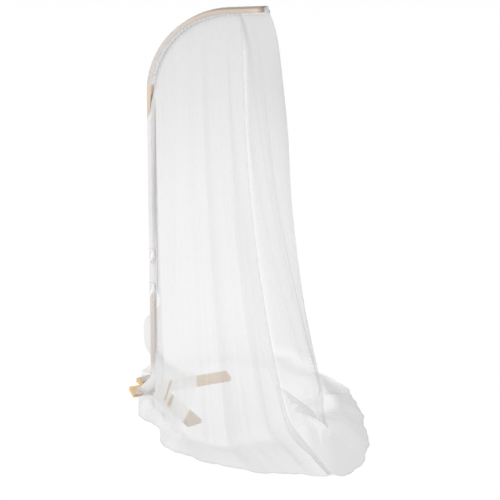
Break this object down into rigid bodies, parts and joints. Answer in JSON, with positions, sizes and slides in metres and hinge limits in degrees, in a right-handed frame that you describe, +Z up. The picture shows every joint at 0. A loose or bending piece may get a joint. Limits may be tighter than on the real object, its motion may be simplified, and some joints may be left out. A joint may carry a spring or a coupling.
{
  "type": "canopy stand",
  "caption": "Free-standing bent wooden pole on a crossed foot, with a sheer net canopy sewn to its arm, tied behind the pole and spread on the floor as a train.",
  "frame": {"origin": "on the floor, under the middle of the pole", "axes": "+Z up along the pole, +X along the arm towards the front of the canopy, -Y the side where the train spreads widest"},
  "size_m": [1.0073, 0.9001, 1.6168],
  "materials": {
    "pole_wood": "clear matt lacquer on pale bent laminate",
    "foot_wood": "clear matt lacquer on pale solid wood",
    "net": "fine sheer white net",
    "ribbon": "matt white ribbon",
    "steel": "plain zinc-plated",
    "brass": "plain turned"
  },
  "bodies": {
    "root": {"pole": "pole_wood", "foot_bar_lower": "foot_wood", "foot_bar_upper": "foot_wood", "foot_bolt_near": "steel", "foot_bolt_far": "steel", "threaded_insert_near": "brass", "threaded_insert_far": "brass", "canopy_sleeve": "net", "curtain_near": "net", "curtain_far": "net", "tie_upper": "ribbon", "tie_lower": "ribbon"}
  },
  "joints": []
}
